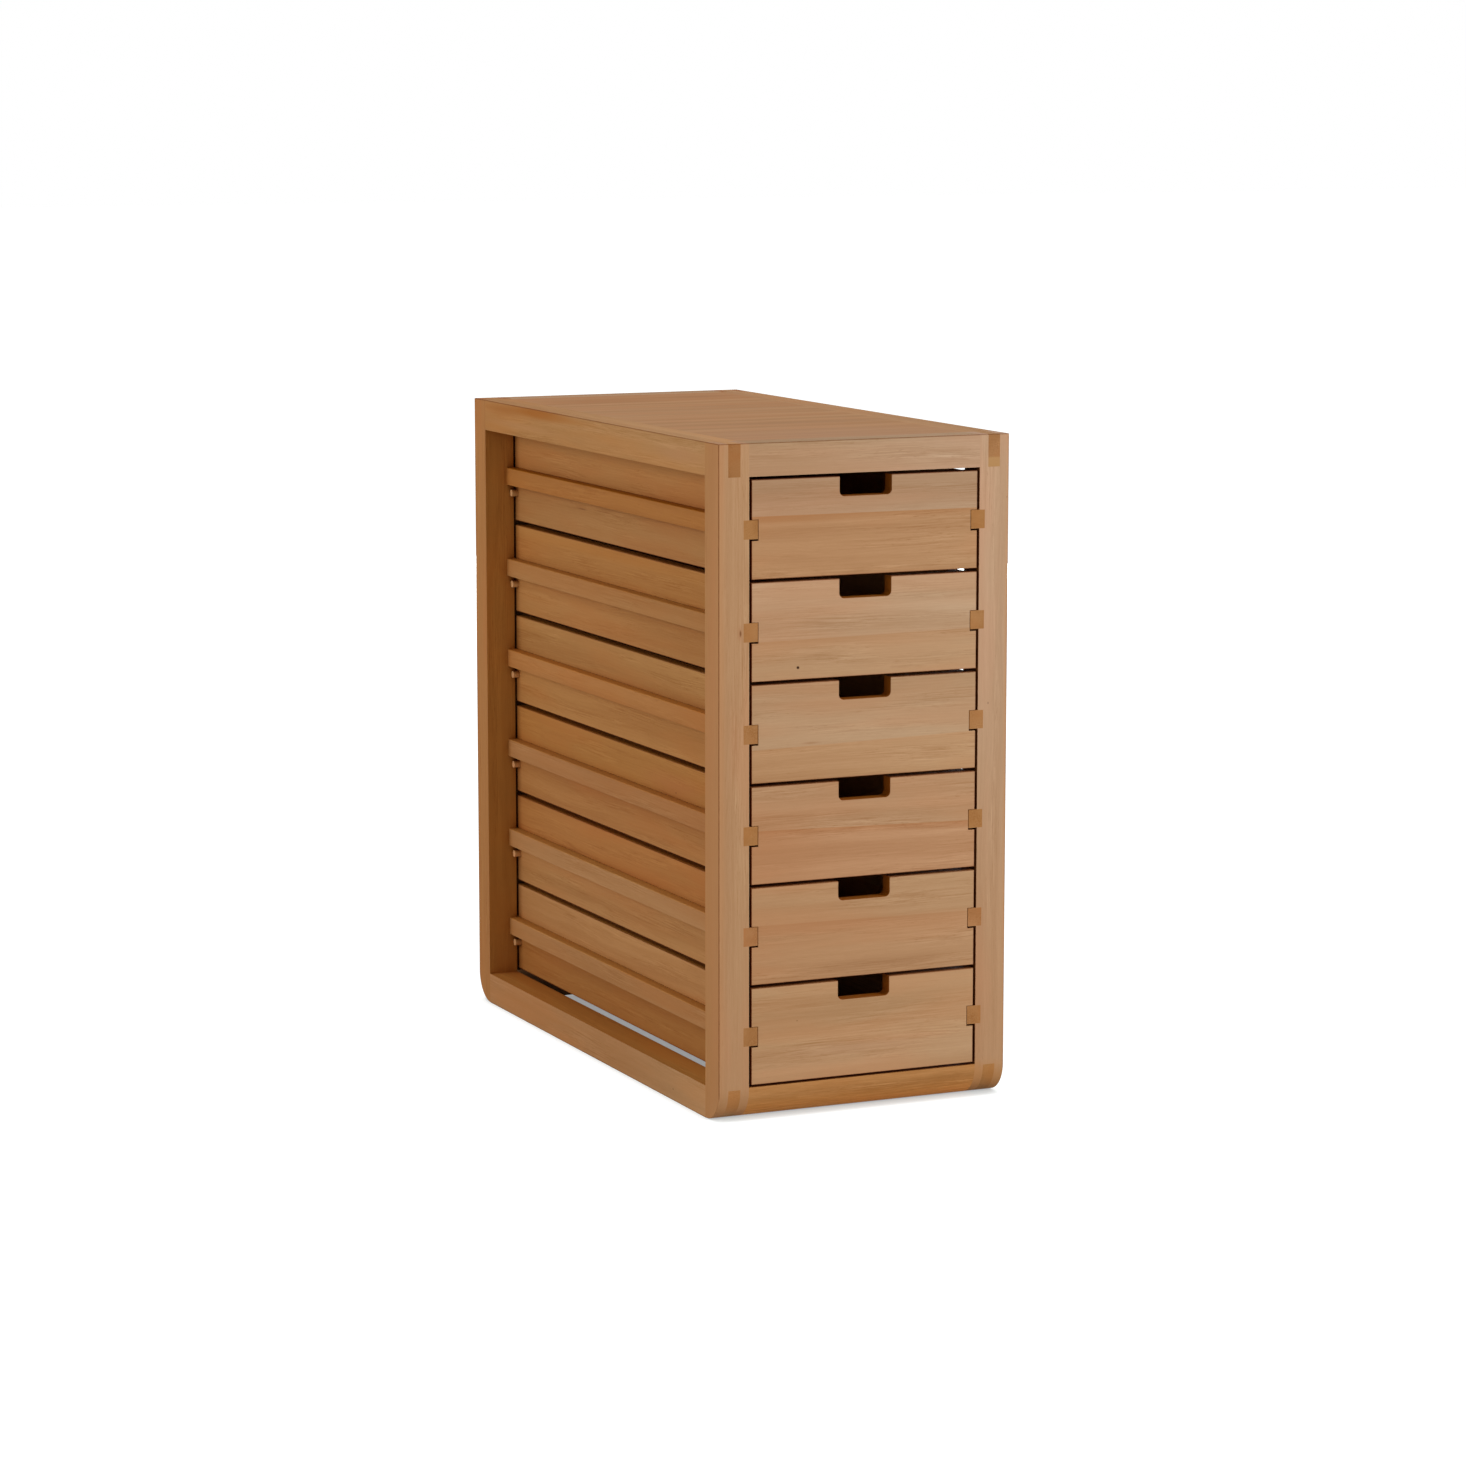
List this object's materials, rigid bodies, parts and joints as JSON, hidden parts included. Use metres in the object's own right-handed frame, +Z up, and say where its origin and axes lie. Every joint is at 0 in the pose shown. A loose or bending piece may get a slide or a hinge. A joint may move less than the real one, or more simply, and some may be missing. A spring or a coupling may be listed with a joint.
{
  "type": "drawer cabinet",
  "caption": "Narrow deep wooden cabinet with an open frame, flush inset drawers on side runners, finger notches, through tenons and rounded foot edges.",
  "frame": {"origin": "on the floor under the middle of the cabinet", "axes": "+X to the right, +Y to the back, +Z up; the drawers open towards -Y"},
  "size_m": [0.34, 0.704, 0.722],
  "materials": {
    "frame_wood": "oiled solid wood, straight reddish-tan grain, satin",
    "top_wood": "oiled solid wood, grain across the width, satin",
    "back_panel_wood": "oiled solid wood panel, upright grain, satin",
    "runner_wood": "oiled solid wood, straight grain, satin",
    "drawer_front_wood": "oiled solid wood, level grain with small knots, satin",
    "drawer_box_wood": "oiled solid wood, level grain, satin",
    "drawer_bottom_wood": "thin wooden board, matt",
    "peg_wood": "turned wooden dowel, plain end grain"
  },
  "bodies": {
    "frame": {"front_left_post": "frame_wood", "front_right_post": "frame_wood", "rear_left_post": "frame_wood", "rear_right_post": "frame_wood", "left_top_rail": "frame_wood", "right_top_rail": "frame_wood", "left_base_rail": "frame_wood", "right_base_rail": "frame_wood", "front_top_rail": "frame_wood", "front_base_rail": "frame_wood", "rear_top_rail": "frame_wood", "rear_base_rail": "frame_wood", "top_panel": "top_wood", "back_panel": "back_panel_wood", "runners_1": "runner_wood", "runners_2": "runner_wood", "runners_3": "runner_wood", "runners_4": "runner_wood", "runners_5": "runner_wood", "runners_6": "runner_wood"},
    "drawer_1": {"drawer_1_front": "drawer_front_wood", "drawer_1_left_side": "drawer_box_wood", "drawer_1_right_side": "drawer_box_wood", "drawer_1_back": "drawer_box_wood", "drawer_1_bottom": "drawer_bottom_wood", "drawer_1_pegs": "peg_wood"},
    "drawer_2": {"drawer_2_front": "drawer_front_wood", "drawer_2_left_side": "drawer_box_wood", "drawer_2_right_side": "drawer_box_wood", "drawer_2_back": "drawer_box_wood", "drawer_2_bottom": "drawer_bottom_wood", "drawer_2_pegs": "peg_wood"},
    "drawer_3": {"drawer_3_front": "drawer_front_wood", "drawer_3_left_side": "drawer_box_wood", "drawer_3_right_side": "drawer_box_wood", "drawer_3_back": "drawer_box_wood", "drawer_3_bottom": "drawer_bottom_wood", "drawer_3_pegs": "peg_wood"},
    "drawer_4": {"drawer_4_front": "drawer_front_wood", "drawer_4_left_side": "drawer_box_wood", "drawer_4_right_side": "drawer_box_wood", "drawer_4_back": "drawer_box_wood", "drawer_4_bottom": "drawer_bottom_wood", "drawer_4_pegs": "peg_wood"},
    "drawer_5": {"drawer_5_front": "drawer_front_wood", "drawer_5_left_side": "drawer_box_wood", "drawer_5_right_side": "drawer_box_wood", "drawer_5_back": "drawer_box_wood", "drawer_5_bottom": "drawer_bottom_wood", "drawer_5_pegs": "peg_wood"},
    "drawer_6": {"drawer_6_front": "drawer_front_wood", "drawer_6_left_side": "drawer_box_wood", "drawer_6_right_side": "drawer_box_wood", "drawer_6_back": "drawer_box_wood", "drawer_6_bottom": "drawer_bottom_wood", "drawer_6_pegs": "peg_wood"}
  },
  "joints": [
    {"name": "drawer_1_slide", "type": "slide", "parent": "frame", "child": "drawer_1", "axis": [0, -1, 0], "range_m": [0, 0.625]},
    {"name": "drawer_2_slide", "type": "slide", "parent": "frame", "child": "drawer_2", "axis": [0, -1, 0], "range_m": [0, 0.625]},
    {"name": "drawer_3_slide", "type": "slide", "parent": "frame", "child": "drawer_3", "axis": [0, -1, 0], "range_m": [0, 0.625]},
    {"name": "drawer_4_slide", "type": "slide", "parent": "frame", "child": "drawer_4", "axis": [0, -1, 0], "range_m": [0, 0.625]},
    {"name": "drawer_5_slide", "type": "slide", "parent": "frame", "child": "drawer_5", "axis": [0, -1, 0], "range_m": [0, 0.625]},
    {"name": "drawer_6_slide", "type": "slide", "parent": "frame", "child": "drawer_6", "axis": [0, -1, 0], "range_m": [0, 0.625]}
  ]
}
